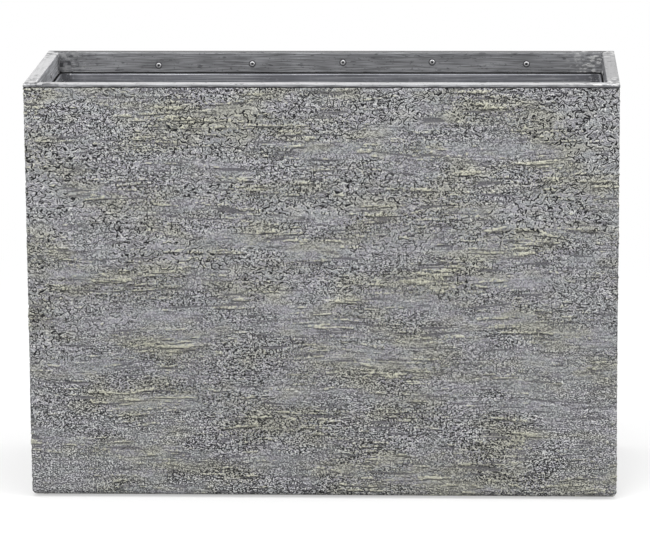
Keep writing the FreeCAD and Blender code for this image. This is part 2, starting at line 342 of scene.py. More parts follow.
def new_material(name):
    """(material, its sketch, its shader), ready for colour."""
    material = bpy.data.materials.new(name)
    material.use_nodes = True
    tree = material.node_tree
    tree.nodes.clear()
    sketch = NodeSketch(tree)
    shader = sketch.add("ShaderNodeBsdfPrincipled")
    output = sketch.add("ShaderNodeOutputMaterial")
    tree.links.new(shader.outputs[0], output.inputs["Surface"])
    return material, sketch, shader


def object_place(sketch):
    """The place on a piece, in metres."""
    return sketch.add("ShaderNodeTexCoord").outputs["Object"]


def bumped(sketch, shader, height, distance=MM, strength=1.0):
    """Lets a height in units of distance tilt the shader's normal."""
    node = sketch.add("ShaderNodeBump")
    node.inputs["Strength"].default_value = strength
    node.inputs["Distance"].default_value = distance
    sketch.feed(node.inputs["Height"], height)
    sketch.tree.links.new(node.outputs[0], shader.inputs["Normal"])


def long_lumps(along, up):
    """Lumps that lie level: as long in depth as in width."""
    return (along, along, up)


def even_lumps(size):
    """Lumps as long one way as another."""
    return (size, size, size)


# Usual reach of the cloudy noise about its middle
NOISE_SPAN = (0.3, 0.7)

# Lumps of the patterns that the relief and the colour share
SWAY_LUMPS = long_lumps(0.19, 0.085)
PATCH_LUMPS = long_lumps(0.14, 0.055)
FRET_LUMPS = long_lumps(0.0052, 0.0042)
SWELL_LUMPS = long_lumps(0.16, 0.11)
CRUMPLE_LUMPS = long_lumps(0.011, 0.008)
BEND_LUMPS, BEND_REACH = long_lumps(0.006, 0.005), 0.005
BLOB_PATCH_LUMPS = long_lumps(0.11, 0.06)
# Lumps of the patterns in the colour alone
COOL_LUMPS = long_lumps(0.030, 0.010)
WARM_LUMPS = long_lumps(0.045, 0.016)
GRAIN_LUMPS = long_lumps(0.0019, 0.0014)
MOTTLE_LUMPS = long_lumps(0.016, 0.008)
STREAK_LUMPS = long_lumps(0.036, 0.0026)
CALM_LUMPS = long_lumps(0.11, 0.028)
# Noise values between which a dragged ridge rises
RIDGE_EDGE = (0.67, 0.72)
# Distances from the middle between which the long faces turn to blobs
BLOB_ENDS = (0.20, 0.40)


class StoneFields:
    """What the stone's relief and its colour share, worked out from a place on the flat skin."""

    def __init__(self, n, place, stone):
        sway = n.noise(place, SWAY_LUMPS, 1.0)
        lift = n.math("MULTIPLY_ADD", sway, stone.stroke_sway, -0.5 * stone.stroke_sway)
        self.drawn = n.vector("ADD", place, n.joined(0.0, 0.0, lift))
        self.patch = n.noise(place, PATCH_LUMPS, 1.0)
        self.fret = n.noise(place, FRET_LUMPS, 1.0)
        self.make_strokes(n, stone)
        self.make_blobs(n, place, stone)
        self.swell = n.noise(place, SWELL_LUMPS, 1.5)
        self.crumple = n.noise(n.shifted(place, y=1.3), CRUMPLE_LUMPS, 2.0)

    def make_strokes(self, n, stone):
        """Dragged ridges with a painted shadow under each, and smooth grooves."""
        lumps = long_lumps(stone.ridge_long, stone.ridge_thick)
        favour = n.math("MULTIPLY_ADD", self.patch, 0.45, -0.225)
        ragged = n.math("MULTIPLY_ADD", self.fret, 0.5, n.math("SUBTRACT", favour, 0.25))
        stroke = n.math("ADD", n.noise(self.drawn, lumps, 1.0), ragged)
        above = n.noise(n.shifted(self.drawn, z=0.6 * stone.ridge_thick), lumps, 1.0)
        self.ridge = n.ramp(stroke, *RIDGE_EDGE)
        # Painted shadow just under each ridge
        self.underside = n.product(n.ramp(n.math("ADD", above, ragged), *RIDGE_EDGE), n.rest(self.ridge))
        groove_lumps = long_lumps(stone.groove_long, stone.groove_thick)
        hollow = n.noise(n.shifted(self.drawn, x=3.1), groove_lumps, 1.0)
        self.groove = n.ramp(n.math("MULTIPLY_ADD", self.fret, 0.16, hollow), 0.45, 0.41)

    def make_blobs(self, n, place, stone):
        """Raised curly blobs, most of all towards the ends of the long faces."""
        self.bent = n.vector("ADD", place, n.noise_vector(place, BEND_LUMPS, BEND_REACH))
        self.blob_lumps = long_lumps(1.35 * stone.blob, stone.blob)
        self.blob = n.noise(self.bent, self.blob_lumps, 1.0)
        ends = n.ramp(n.math("ABSOLUTE", n.parts(place)[0]), *BLOB_ENDS, 0.0, 0.10)
        where = n.noise(n.shifted(place, x=1.7), BLOB_PATCH_LUMPS, 1.0)
        self.blobs = n.ramp(n.math("ADD", where, ends), 0.50, 0.60)


class LevelLines:
    """Lines of one width along which a cloudy noise has its middle value, as cracks and outlines run."""

    STEP = 0.5 * MM

    def __init__(self, n, place, along, lumps, detail):
        """along is the level direction in the surface."""
        here = self.height(n, place, lumps, detail)
        aside = self.height(n, n.vector("ADD", place, n.times(along, self.STEP)), lumps, detail)
        over = self.height(n, n.shifted(place, z=self.STEP), lumps, detail)
        rise_aside = n.math("DIVIDE", n.math("SUBTRACT", aside, here), self.STEP)
        rise_up = n.math("DIVIDE", n.math("SUBTRACT", over, here), self.STEP)
        steep = n.math("SQRT", n.math("MULTIPLY_ADD", rise_aside, rise_aside, n.product(rise_up, rise_up)))
        steep = n.math("MAXIMUM", steep, 1.0)
        self.away = n.math("DIVIDE", n.math("ABSOLUTE", here), steep)
        way = n.math("DIVIDE", rise_up, steep)
        # 1 where the line lies straight above a place, -1 where it lies straight below
        self.above = n.product(n.math("SIGN", here), way, -1.0)

    def height(self, n, place, lumps, detail):
        return n.math("SUBTRACT", n.noise(place, lumps, detail), 0.5)

    def cracks(self, n, half_width):
        """1 in the lines."""
        return n.ramp(self.away, half_width, 0.7 * half_width)

    def rims(self, n, half_width):
        """1 in a band beside the lines, strongest just below them: dry-brushed paint with a painted
        highlight on each line's lower lip.
        """
        beside = n.ramp(self.away, 0.7 * half_width, 1.2 * half_width)
        near = n.ramp(self.away, 2.2 * half_width, 1.6 * half_width)
        return n.product(beside, near, n.ramp(self.above, -0.5, 0.5, 0.45, 1.0))


def stone_ground(n, place, patch, stone):
    """The stone's grey, in level patches of violet, green and warm tones.
    patch says where it is brushed most."""
    cool = n.noise(n.shifted(place, y=0.7), COOL_LUMPS, 2.0)
    warm = n.noise(n.shifted(place, y=2.1), WARM_LUMPS, 3.0)
    ground = n.blend(n.ramp(cool, 0.42, 0.58), tuple(stone.violet_grey), tuple(stone.green_grey))
    warm = n.math("MULTIPLY_ADD", patch, 0.6, n.math("SUBTRACT", warm, 0.3))
    return n.blend(n.ramp(warm, 0.48, 0.68), ground, tuple(stone.warm_grey))


def stone_finish(n, place, along, stone):
    """(colour, height in mm, gloss) of the crackled, dry-brushed skin at a place.
    along is the level direction in the surface."""
    fields = StoneFields(n, place, stone)
    ground = stone_ground(n, place, fields.patch, stone)
    grain = n.noise(n.shifted(place, x=2.9), GRAIN_LUMPS, 0.0)
    mottle = n.noise(n.shifted(place, x=6.7), MOTTLE_LUMPS, 2.0)
    streak = n.noise(n.shifted(fields.drawn, x=5.3), STREAK_LUMPS, 1.0)
    calm = n.ramp(n.noise(n.shifted(place, x=2.3), CALM_LUMPS, 2.0), 0.46, 0.68, 1.0, 0.5)
    calm = n.product(calm, n.between(fields.groove, 1.0, 0.25))
    lively = n.product(n.math("SUBTRACT", grain, 0.5), 0.9, calm)
    tone = n.total(lively, n.slope(mottle, *NOISE_SPAN, -0.08, 0.08), 1.28)
    tone = n.math("ADD", tone, n.slope(streak, *NOISE_SPAN, -0.16, 0.16))
    ground = n.times(ground, n.math("MAXIMUM", tone, 0.12))
    ground = n.blend(n.product(fields.ridge, 0.75), ground, tuple(stone.cream))
    ground = n.blend(n.product(fields.groove, 0.85), ground, tuple(stone.charcoal))
    ground = n.blend(n.product(n.ramp(streak, 0.365, 0.315), 0.85), ground, tuple(stone.charcoal))
    # Pale dry-brushed paint, which on the rims below the cracks is also a painted highlight
    pale_wear_and_highlight = n.blend(n.ramp(fields.patch, 0.42, 0.62, 0.0, 0.75), tuple(stone.edge_wear_and_highlight), tuple(stone.cream))
    ground = n.blend(n.product(n.ramp(streak, 0.66, 0.71), 0.4), ground, pale_wear_and_highlight)
    # Fine cracks, broken into dashes
    lumps = long_lumps(1.2 * stone.cell, stone.cell)
    lines = LevelLines(n, place, along, lumps, 1.0)
    breaks = long_lumps(0.85 * stone.cell, 0.7 * stone.cell)
    cut = n.product(n.ramp(n.noise(n.shifted(place, x=4.1), breaks, 0.0), 0.42, 0.47), calm)
    cut = n.product(cut, n.between(fields.blobs, 1.0, 0.6))
    half = 0.5 * stone.crack_width
    # Finer, flatter cracks take their place low on the faces and towards the right
    fine = LevelLines(n, place, along, long_lumps(2.0 * stone.fine_cell, stone.fine_cell), 1.0)
    x, _, z = n.parts(place)
    lowness = n.total(n.product(fields.swell, 0.5), n.product(x, 0.15), n.product(z, -1.0))
    fine_share = n.ramp(lowness, -0.12, 0.12)
    rims = n.between(fine_share, lines.rims(n, half), fine.rims(n, half))
    cracks = n.between(fine_share, lines.cracks(n, half), fine.cracks(n, half))
    # Pale rims below the cracks: dry-brushed paint with a painted highlight
    ground = n.blend(n.product(rims, cut, 0.9), ground, pale_wear_and_highlight)
    # Outlines of the blobs
    curls = LevelLines(n, fields.bent, along, fields.blob_lumps, 1.0)
    curly = n.product(fields.blobs, n.between(fine_share, 1.0, 0.6))
    # Pale rims below the blobs' outlines: dry-brushed paint with a painted highlight
    ground = n.blend(n.product(curls.rims(n, half), curly, 0.6), ground, pale_wear_and_highlight)
    outline = n.product(curls.cracks(n, half), curly, n.ramp(fields.fret, 0.40, 0.48))
    # Specks and pits, more of them where the crackle is fine
    fleck = n.product(n.math("SUBTRACT", grain, 0.5), n.between(fine_share, 1.0, 1.45))
    ground = n.blend(n.product(n.ramp(fleck, 0.14, 0.20), calm, 0.8), ground, pale_wear_and_highlight)
    pit = n.product(n.ramp(fleck, -0.15, -0.21), calm)
    bare = n.math("MULTIPLY_ADD", fields.ridge, -0.4, 1.0)
    dark = n.math("MAXIMUM", n.product(cracks, cut), pit)
    dark = n.math("MAXIMUM", n.product(dark, bare), outline)
    # The painted shadow under the ridges joins the dark of the cracks
    dark = n.math("MAXIMUM", dark, n.product(fields.underside, 0.75))
    ground = n.blend(dark, ground, tuple(stone.crack))
    height = n.total(n.product(dark, -0.5), n.product(grain, 0.3))
    return ground, height, fields.groove


def stone_skin_material(stone):
    """Crackled, dry-brushed stone."""
    material, n, shader = new_material("stone_skin")
    place = n.add("ShaderNodeAttribute", attribute_name=SKIN_PLACE).outputs["Vector"]
    outward = n.add("ShaderNodeAttribute", attribute_name=SKIN_OUTWARD).outputs["Vector"]
    along = n.vector("NORMALIZE", n.vector("CROSS_PRODUCT", (0.0, 0.0, 1.0), outward))
    ground, height, gloss = stone_finish(n, place, along, stone)
    n.feed(shader.inputs["Base Color"], ground)
    n.feed(shader.inputs["Roughness"], n.between(gloss, 0.88, 0.6))
    shader.inputs["Specular IOR Level"].default_value = 0.3
    bumped(n, shader, height)
    return material


# Where the inside turns black: behind the outer face, and above the underside
BLACK_INSIDE_BEHIND = (8.5 * MM, 9.5 * MM)
BLACK_INSIDE_ABOVE = (10.0 * MM, 13.0 * MM)
# Where the wall takes painted shade for the line under the lip: just behind the outer face, well above the
# ground
GAP_SHADE_BEHIND = (7.0 * MM, 5.0 * MM)
GAP_SHADE_ABOVE = (50.0 * MM, 60.0 * MM)


def raw_cast_material(stone):
    """Unpainted cast underside with air holes, near black on the inside, and painted shade in the line
    under the lip.
    """
    material, n, shader = new_material("raw_cast")
    place = object_place(n)
    cloud = n.noise(place, even_lumps(0.09), 3.0)
    grain = n.noise(place, even_lumps(0.004), 2.0)
    hole = n.ramp(n.pits(place, even_lumps(0.021)), 0.10, 0.05)
    tone = n.total(n.math("MULTIPLY", cloud, 0.7), n.math("MULTIPLY", grain, 0.4), 0.45)
    ground = n.times(tuple(stone.raw_cast), tone)
    ground = n.blend(n.math("MULTIPLY", hole, 0.7), ground, tuple(stone.crack))
    x, y, z = n.parts(place)
    off_x = n.math("SUBTRACT", SHELL_HIGH.x, n.math("ABSOLUTE", x))
    off_y = n.math("SUBTRACT", SHELL_HIGH.y, n.math("ABSOLUTE", y))
    off_wall = n.math("MINIMUM", off_x, off_y)
    above_base = n.math("SUBTRACT", z, SHELL_LOW.z)
    # The inside is made near black
    coat = n.product(n.ramp(off_wall, *BLACK_INSIDE_BEHIND), n.ramp(above_base, *BLACK_INSIDE_ABOVE))
    ground = n.blend(n.product(coat, 0.95), ground, tuple(stone.inside_black))
    # Painted shade on the faces behind the skin, seen in the line under the rim's lip
    dark_marks_and_shade = n.product(n.ramp(off_wall, *GAP_SHADE_BEHIND), n.ramp(z, *GAP_SHADE_ABOVE))
    ground = n.blend(dark_marks_and_shade, ground, tuple(stone.crack))
    n.feed(shader.inputs["Base Color"], ground)
    shader.inputs["Roughness"].default_value = 0.92
    shader.inputs["Specular IOR Level"].default_value = 0.25
    bumped(n, shader, n.total(n.math("MULTIPLY", grain, 0.35), n.math("MULTIPLY", hole, -0.8)))
    return material


def link_piece(name, mesh):
    """A new object at the origin that shows a mesh."""
    piece = bpy.data.objects.new(name, mesh)
    bpy.context.scene.collection.objects.link(piece)
    return piece


def settle(piece):
    """Turns what the piece's modifiers make into its own plain mesh."""
    graph = bpy.context.evaluated_depsgraph_get()
    made = bpy.data.meshes.new_from_object(piece.evaluated_get(graph))
    made.name = piece.name
    piece.modifiers.clear()
    before = piece.data
    piece.data = made
    bpy.data.meshes.remove(before)


def new_geometry_tree(name, inputs):
    """(tree, its sketch, its input node): takes geometry and the named inputs, {name: socket kind}."""
    tree = bpy.data.node_groups.new(name, "GeometryNodeTree")
    tree.interface.new_socket("Geometry", in_out="INPUT", socket_type="NodeSocketGeometry")
    for label, kind in inputs.items():
        tree.interface.new_socket(label, in_out="INPUT", socket_type=kind)
    tree.interface.new_socket("Geometry", in_out="OUTPUT", socket_type="NodeSocketGeometry")
    sketch = NodeSketch(tree)
    return tree, sketch, sketch.add("NodeGroupInput")


def end_geometry_tree(sketch, geometry, material):
    """Realizes what the tree made, gives it its material and ends the tree."""
    real = sketch.add("GeometryNodeRealizeInstances")
    sketch.feed(real.inputs["Geometry"], geometry)
    painted = sketch.add("GeometryNodeSetMaterial")
    sketch.feed(painted.inputs["Geometry"], real.outputs["Geometry"])
    sketch.feed(painted.inputs["Material"], material)
    output = sketch.add("NodeGroupOutput")
    sketch.feed(output.inputs["Geometry"], painted.outputs["Geometry"])


def apply_tree(piece, tree, values):
    """Runs a geometry tree on a piece with its inputs set, and keeps the result as the piece's mesh."""
    modifier = piece.modifiers.new(tree.name, "NODES")
    modifier.node_group = tree
    for item in tree.interface.items_tree:
        if item.in_out == "INPUT" and item.name in values:
            modifier[item.identifier] = values[item.name]
    settle(piece)


def named_vector(sketch, name):
    node = sketch.add("GeometryNodeInputNamedAttribute", data_type="FLOAT_VECTOR")
    node.inputs["Name"].default_value = name
    return node.outputs["Attribute"]


def named_number(sketch, name):
    node = sketch.add("GeometryNodeInputNamedAttribute", data_type="FLOAT")
    node.inputs["Name"].default_value = name
    return node.outputs["Attribute"]


RELIEF_INPUTS = {
    "Crack Depth": "NodeSocketFloat",
    "Ridge Height": "NodeSocketFloat",
    "Groove Depth": "NodeSocketFloat",
    "Swell Height": "NodeSocketFloat",
}


def stone_relief_tree(stone, material):
    """Raises ridges and swells on the flat skin, and sinks its cracks and grooves."""
    tree, n, given = new_geometry_tree("stone_relief", RELIEF_INPUTS)
    fields = StoneFields(n, named_vector(n, SKIN_PLACE), stone)
    swell = n.math("MULTIPLY", n.math("SUBTRACT", fields.swell, 0.5), given.outputs["Swell Height"])
    ridge = n.math("MULTIPLY", fields.ridge, given.outputs["Ridge Height"])
    groove = n.math("MULTIPLY", fields.groove, given.outputs["Groove Depth"])
    crumple = n.slope(fields.crumple, *NOISE_SPAN, 1.0, 0.0)
    low = n.math("MAXIMUM", crumple, n.product(n.ramp(fields.blob, 0.53, 0.45), fields.blobs))
    crack = n.math("MULTIPLY", low, given.outputs["Crack Depth"])
    height = n.math("SUBTRACT", n.math("ADD", swell, ridge), n.math("ADD", groove, crack))
    height = n.math("MULTIPLY", height, named_number(n, SKIN_RELIEF))
    moved = n.add("GeometryNodeSetPosition")
    n.feed(moved.inputs["Geometry"], given.outputs["Geometry"])
    n.feed(moved.inputs["Offset"], n.times(named_vector(n, SKIN_OUTWARD), height))
    end_geometry_tree(n, moved.outputs["Geometry"], material)
    return tree


def skin_profile(stone, step):
    """Rows of one skin face from the lip gap down and in under the base.
    Each row is (inset, height, out, up, relief)."""
    top = RIM_HIGH.z - stone.lip_drop - stone.lip_gap
    bottom, radius, curl = SHELL_LOW.z, stone.base_radius, 0.8 * MM
    rows = [
        (3 * curl, top, 0.0, 1.0, 0.0),
        (curl, top, 0.3, 0.95, 0.1),
        (0.3 * curl, top - 0.3 * curl, 0.7, 0.7, 0.4),
    ]
    upright = top - curl - bottom - radius
    count = round(upright / step)
    rows += [(0.0, top - curl - upright * i / count, 1.0, 0.0, 1.0) for i in range(count + 1)]
    turns = max(4, round(0.5 * math.pi * radius / step))
    for i in range(1, turns + 1):
        angle = 0.5 * math.pi * i / turns
        out, down = math.cos(angle), math.sin(angle)
        rows.append((radius * (1 - out), bottom + radius * (1 - down), out, -down, 1.0 - 0.6 * i / turns))
    steps = max(3, round(stone.base_return / (2 * step)))
    for i in range(1, steps + 1):
        rows.append((radius + stone.base_return * i / steps, bottom, 0.0, -1.0, 0.4 * (1 - i / steps)))
    return np.array(rows)


# Columns in which a skin face turns from its straight to the mitre
CORNER_COLUMNS = 3


def skin_plan(half, step, start, end):
    """Columns of one skin face from start to end: (share of the straight, corner turn).
    start and end are -1, 0 or 1 for the left corner, the middle and the right corner."""
    turns = [0.25 * math.pi * i / CORNER_COLUMNS for i in range(1, CORNER_COLUMNS + 1)]
    count = round(half * (end - start) / step)
    columns = [(-1.0, -turn) for turn in reversed(turns)] if start == -1 else []
    columns += [(start + (end - start) * i / count, 0.0) for i in range(count + 1)]
    columns += [(1.0, turn) for turn in turns] if end == 1 else []
    return np.array(columns)


def skin_points(profile, plan, half, stone):
    """Points and outward directions of one skin face, as rows by columns.
    They are in its own frame: along, inwards, up."""
    inset, height, out, up, _ = (profile[:, i, None] for i in range(5))
    side, turn = plan[None, :, 0], plan[None, :, 1]
    radius = np.maximum(stone.upright_radius - inset, 0.3 * MM)
    along = side * (half - inset - radius) + radius * np.sin(turn)
    inwards = inset + radius * (1 - np.cos(turn))
    points = np.stack([along, inwards, np.broadcast_to(height, along.shape)], -1)
    outward = np.stack(
        [out * np.sin(turn), -out * np.cos(turn), np.broadcast_to(up, along.shape)], -1
    )
    return points, outward / np.linalg.norm(outward, axis=-1, keepdims=True)


def border_ring(rows, columns):
    """Numbers of the border points of a grid, in order round it."""
    grid = np.arange(rows * columns).reshape(rows, columns)
    return np.concatenate([grid[0, :-1], grid[:-1, -1], grid[-1, :0:-1], grid[:0:-1, 0]])


def lay_out(mesh, rows, columns, back):
    """Gives a skin its map: the grid over most of it, the closing faces and the back in a strip below."""
    strip, low_strip = 0.03, 0.012
    row, column = np.divmod(np.arange(rows * columns), columns)
    grid = np.stack([column / (columns - 1), 1 - (1 - strip) * row / (rows - 1)], -1)
    corners = np.empty(len(mesh.loops), np.int32)
    mesh.loops.foreach_get("vertex_index", corners)
    grid_corners = 4 * (rows - 1) * (columns - 1)
    count = len(back)
    step = np.arange(count)[:, None]
    closing_across = (step + np.array([0, 0, 1, 1])) / count
    closing_up = np.broadcast_to([0.9 * strip, 0.5 * strip, 0.5 * strip, 0.9 * strip], (count, 4))
    flat = back[::-1][:, (0, 2)]
    flat = (flat - flat.min(0)) / (flat.max(0) - flat.min(0)) * (1.0, low_strip)
    places = np.concatenate(
        [grid[corners[:grid_corners]], np.stack([closing_across, closing_up], -1).reshape(-1, 2), flat]
    )
    mesh.uv_layers.new(name=BAKE_MAP).data.foreach_set("uv", places.astype(np.float32).ravel())


def skin_piece(name, turn, half_long, half_deep, start, end, step, stone, tree):
    """One closed skin piece: a fine outer grid, a ring of closing faces and a flat back."""
    profile = skin_profile(stone, step)
    plan = skin_plan(half_long - stone.upright_radius, step, start, end)
    points, outward = skin_points(profile, plan, half_long, stone)
    rows, columns = points.shape[:2]
    grid = np.arange(rows * columns).reshape(rows, columns)
    quads = np.stack([grid[1:, :-1], grid[1:, 1:], grid[:-1, 1:], grid[:-1, :-1]], -1).reshape(-1, 4)
    flat = points.reshape(-1, 3)
    ring = border_ring(rows, columns)
    back = flat[ring].copy()
    reach = half_long - stone.skin_depth
    back[:, 0] = np.clip(back[:, 0], -reach, reach)
    back[:, 1] = stone.skin_depth
    back[:, 2] = np.clip(back[:, 2], SHELL_LOW.z + stone.skin_depth, flat[:, 2].max() - 2 * MM)
    first = rows * columns
    behind = np.arange(first, first + len(ring))
    after = np.roll(np.arange(len(ring)), -1)
    closing = np.stack([ring, behind, behind[after], ring[after]], -1)
    everything = np.concatenate([flat, back])
    facing = np.concatenate([outward.reshape(-1, 3), np.zeros_like(back)])
    relief = np.concatenate([np.repeat(profile[:, 4], columns), np.zeros(len(ring))])
    # From the face's own frame to the planter's, where inwards is measured from the face's plane
    everything[:, 1] -= half_deep
    turned = np.array(Matrix.Rotation(turn, 3, "Z"))
    everything = everything @ turned.T
    facing = facing @ turned.T
    mesh = bpy.data.meshes.new(name)
    mesh.from_pydata(everything.tolist(), [], quads.tolist() + closing.tolist() + [behind[::-1].tolist()])
    lay_out(mesh, rows, columns, back)
    smooth = np.zeros(len(mesh.polygons), bool)
    smooth[: len(quads)] = True
    mesh.polygons.foreach_set("use_smooth", smooth)
    for label, values in ((SKIN_PLACE, everything), (SKIN_OUTWARD, facing)):
        attribute = mesh.attributes.new(label, "FLOAT_VECTOR", "POINT")
        attribute.data.foreach_set("vector", values.astype(np.float32).ravel())
    mesh.attributes.new(SKIN_RELIEF, "FLOAT", "POINT").data.foreach_set("value", relief.astype(np.float32))
    piece = link_piece(name, mesh)
    apply_tree(
        piece,
        tree,
        {
            "Crack Depth": stone.crack_depth,
            "Ridge Height": stone.ridge_height,
            "Groove Depth": stone.groove_depth,
            "Swell Height": stone.swell_height,
        },
    )
    piece.data.attributes.remove(piece.data.attributes[SKIN_RELIEF])
    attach(piece, PLANTER)
    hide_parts("stone_shell")


class PLANTER_OT_stone_skin(bpy.types.Operator):
    """Build the crackled skin of the shell's four faces"""

    bl_idname = "planter.stone_skin"
    bl_label = "Stone Skin"

    def execute(self, context):
        stone = context.scene.planter_stone
        tree = stone_relief_tree(stone, stone_skin_material(stone))
        long_half, short_half = SHELL_HIGH.x, SHELL_HIGH.y
        for name, turn in (("front", 0.0), ("back", math.pi)):
            for half, start, end in (("left", -1, 0), ("right", 0, 1)):
                label, step = f"stone_{name}_{half}", stone.long_step
                skin_piece(label, turn, long_half, short_half, start, end, step, stone, tree)
        for name, turn in (("right_end", 0.5 * math.pi), ("left_end", -0.5 * math.pi)):
            skin_piece(f"stone_{name}", turn, short_half, long_half, -1, 1, stone.short_step, stone, tree)
        return {"FINISHED"}


def sunk_in(mesh, depth):
    """Moves a shell's outer faces in by depth, so that they lie behind the skin."""
    count = len(mesh.vertices)
    places = np.empty(count * 3, np.float32)
    mesh.vertices.foreach_get("co", places)
    places = places.reshape(-1, 3)
    for axis, outer in ((0, SHELL_HIGH.x), (1, SHELL_HIGH.y)):
        np.clip(places[:, axis], -(outer - depth), outer - depth, out=places[:, axis])
    mesh.vertices.foreach_set("co", places.ravel())


class PLANTER_OT_stone_core(bpy.types.Operator):
    """Build the raw cast inside, floor and underside of the shell"""

    bl_idname = "planter.stone_core"
    bl_label = "Stone Core"

    def execute(self, context):
        stone = context.scene.planter_stone
        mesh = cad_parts["stone_shell"].data.copy()
        mesh.name = "stone_core"
        sunk_in(mesh, 0.6 * stone.skin_depth)
        work = bmesh.new()
        work.from_mesh(mesh)
        bmesh.ops.remove_doubles(work, verts=work.verts, dist=1e-6)
        bmesh.ops.dissolve_degenerate(work, edges=work.edges, dist=1e-6)
        work.to_mesh(mesh)
        work.free()
        mesh.set_sharp_from_angle(angle=math.radians(30))
        mesh.materials.clear()
        mesh.materials.append(raw_cast_material(stone))
        piece = link_piece("stone_core", mesh)
        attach(piece, PLANTER)
        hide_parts("stone_shell")
        return {"FINISHED"}


def brushed_place(along_y, long, thick):
    """Lumps of a brush streak that runs along X, or along Y."""
    return (thick, long, thick) if along_y else (long, thick, thick)


def rivet_shadow_ring(n, along, up, rivets, radius):
    """1 in a ring of painted shadow round the heads of rivets at (along, up) places on a skirt."""
    ring = 0.0
    for rivet_along, rivet_up in rivets:
        aside = n.math("SUBTRACT", along, rivet_along)
        above = n.math("SUBTRACT", up, rivet_up)
        apart = n.math("SQRT", n.math("MULTIPLY_ADD", aside, aside, n.product(above, above)))
        ring = n.math("MAXIMUM", ring, n.ramp(apart, 1.4 * radius, 1.1 * radius))
    return ring


# Lumps of the patterns on the rim
RIM_CLOUD_LUMPS = (0.05, 0.05, 0.03)
SMEAR_LUMPS = (0.009, 0.009, 0.0045)
PIT_LUMPS = (0.0045, 0.0045, 0.0022)
SCRATCH_LUMPS = (0.012, 0.010, 0.0035)
WAVY_LUMPS = even_lumps(0.014)
# Distances from an end between which the corner's solder and pits fade in
CORNER_REACH = (0.085, 0.018)
# How far a face has to turn to count as fully one way
FACING = (0.5, 0.9)


def rim_material(name, metal, along_y, painted_light, lip_low, rivets):
    """Grey paint brushed along the rim, with a painted highlight on its top streaked like rubbed paint,
    solder and scuffs near the corners, and painted shade under the lip and round the rivets.
    Its pair of light shares paints light and shade onto the top and the skirt's inner face; lip_low is the
    lip's lower edge."""
    material, n, shader = new_material(name)
    top_light, inside_light = painted_light
    place = object_place(n)
    x, y, z = n.parts(place)
    streak = n.noise(place, brushed_place(along_y, metal.streak_long, metal.streak_thick), 2.0)
    scrape = n.noise(place, brushed_place(along_y, 0.4 * metal.streak_long, 0.7 * metal.streak_thick), 1.0)
    cloud = n.noise(place, RIM_CLOUD_LUMPS, 2.0)
    from_x = n.math("SUBTRACT", CAD_HIGH.x, n.math("ABSOLUTE", x))
    from_y = n.math("SUBTRACT", CAD_HIGH.y, n.math("ABSOLUTE", y))
    corner = n.product(n.ramp(from_x, *CORNER_REACH), n.ramp(from_y, *CORNER_REACH))
    smear = n.noise(n.shifted(place, x=1.9), SMEAR_LUMPS, 3.0)
    # The right corners are pale with solder, the left ones dark with pits
    solder = n.product(corner, n.ramp(smear, 0.55, 0.60), n.ramp(x, -0.1, 0.1, 0.4, 1.0))
    pocked = n.product(corner, n.ramp(smear, 0.45, 0.40), n.ramp(x, 0.1, -0.1, 0.5, 1.0))
    normal = n.parts(n.add("ShaderNodeNewGeometry").outputs["Normal"])
    top = n.ramp(normal[2], *FACING)
    along, across, facing = (y, x, normal[0]) if along_y else (x, y, normal[1])
    outward = n.product(facing, n.math("SIGN", across))
    inside = n.ramp(outward, -0.5, -0.9)
    # Painted highlight on the faces that look up, streaked like rubbed paint
    pale_wear_and_highlight = n.product(top, n.ramp(n.total(streak, n.product(cloud, 0.5)), 0.55, 0.80, 0.75, 1.0))
    ground = n.times(tuple(metal.rim_paint), n.slope(streak, *NOISE_SPAN, 0.66, 1.36))
    ground = n.times(ground, n.slope(scrape, *NOISE_SPAN, 0.58, 1.42))
    ground = n.times(ground, n.slope(cloud, *NOISE_SPAN, 0.85, 1.15))
    # Painted light and shade on the skirt's inner face
    ground = n.times(ground, n.between(inside, 1.0, inside_light))
    # Painted light on the faces that look outward, the lip
    ground = n.times(ground, n.ramp(outward, *FACING, 1.0, 1.35))
    ground = n.blend(pale_wear_and_highlight, ground, n.times(tuple(metal.rim_top_highlight), top_light))
    ground = n.blend(n.product(solder, 0.85), ground, tuple(metal.rim_scuff))
    # Dark pits, scratches, the mitre's seam and painted shade along the lip's lower edge
    pit = n.ramp(n.noise(place, PIT_LUMPS, 2.0), 0.36, 0.29)
    scratch = n.ramp(n.noise(n.shifted(place, x=3.3), SCRATCH_LUMPS, 2.0), 0.36, 0.30)
    off_seam = n.math("ABSOLUTE", n.math("SUBTRACT", from_x, from_y))
    seam = n.product(top, n.ramp(off_seam, 1.3 * MM, 0.5 * MM), n.ramp(smear, 0.40, 0.46))
    wavy = n.math("MULTIPLY_ADD", n.noise(place, WAVY_LUMPS, 1.0), 3.0 * MM, lip_low - 1.0 * MM)
    above_edge = n.math("SUBTRACT", z, wavy)
    # Painted shade along the lip's lower edge
    lip_shade = n.product(n.ramp(outward, *FACING), n.ramp(above_edge, 1.0 * MM, 0.3 * MM))
    # Painted shadow round the rivet heads on the skirt's inner face
    ring = n.product(rivet_shadow_ring(n, along, z, rivets, 0.5 * metal.rivet_head), inside)
    marks = n.math("MAXIMUM", n.product(pit, 0.5), n.product(scratch, 0.6))
    marks = n.math("MAXIMUM", marks, n.math("MAXIMUM", n.product(pocked, 0.85), n.product(ring, 0.85)))
    marks = n.math("MAXIMUM", marks, n.math("MAXIMUM", n.product(seam, 0.8), n.product(lip_shade, 0.9)))
    ground = n.blend(marks, ground, tuple(metal.rim_grime_and_shade))
    n.feed(shader.inputs["Base Color"], ground)
    shader.inputs["Metallic"].default_value = 0.35
    brushed = n.slope(streak, *NOISE_SPAN, 0.50, 0.34)
    n.feed(shader.inputs["Roughness"], n.math("MAXIMUM", brushed, n.product(top, 0.62)))
    bumped(n, shader, n.total(n.product(streak, 0.12), n.product(solder, 0.15)))
    return material


